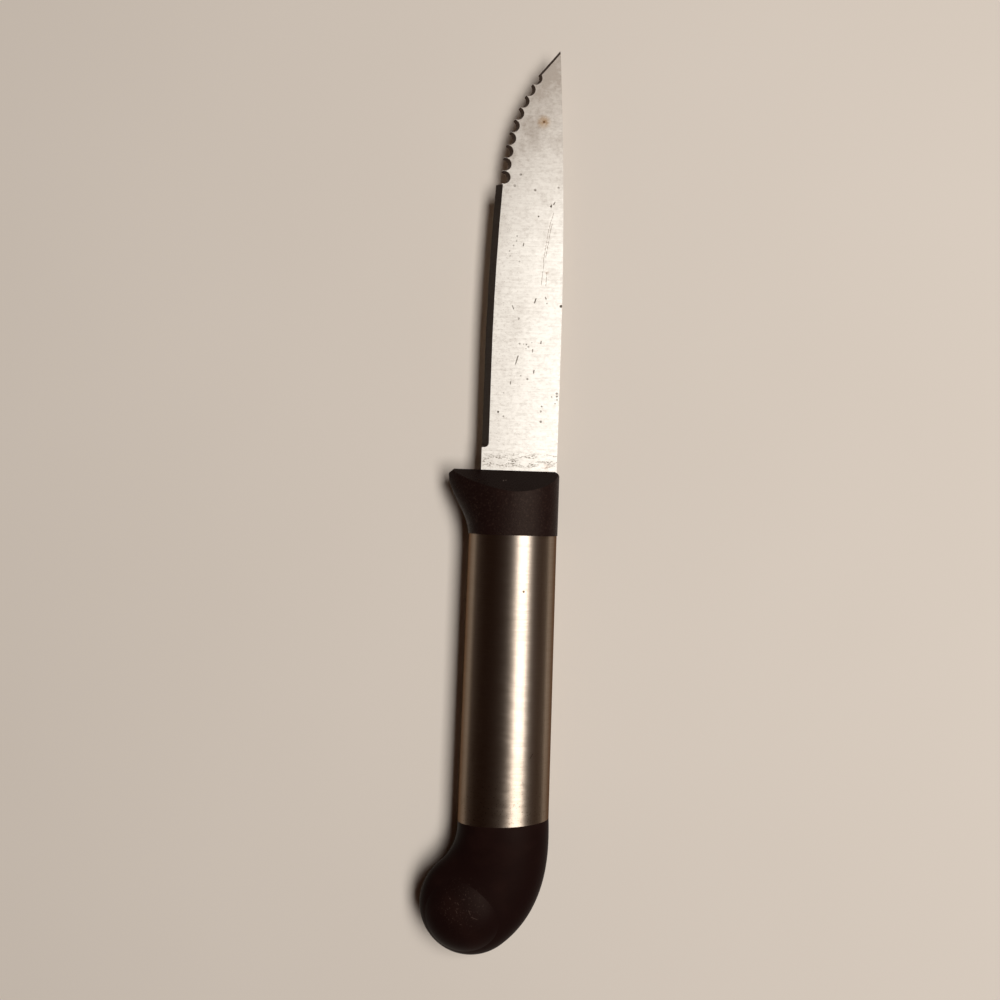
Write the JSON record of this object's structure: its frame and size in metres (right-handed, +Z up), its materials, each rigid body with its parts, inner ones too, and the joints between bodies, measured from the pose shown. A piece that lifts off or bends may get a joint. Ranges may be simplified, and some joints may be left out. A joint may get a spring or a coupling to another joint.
{
  "type": "serrated kitchen knife",
  "caption": "Stainless steel kitchen knife with a part-serrated blade, an oval steel sleeve on the handle, a black guard collar and a bent, ball-ended black rear cap.",
  "frame": {"origin": "on the surface that the knife lies on, under the middle of its plan outline", "axes": "+Y along the handle towards the blade's tip, +X across it towards the spine, +Z up from the surface, square to the blade's face"},
  "size_m": [0.0334, 0.2382, 0.0158],
  "materials": {
    "blade_steel": "ground across the blade, worn, with a few rust specks and scratches",
    "collar_plastic": "black, fine grained",
    "sleeve_steel": "satin, brushed around the handle",
    "cap_plastic": "black, smooth satin, scuffed on the ball"
  },
  "bodies": {
    "root": {"blade": "blade_steel", "front_collar": "collar_plastic", "steel_sleeve": "sleeve_steel", "rear_cap": "cap_plastic"}
  },
  "joints": []
}
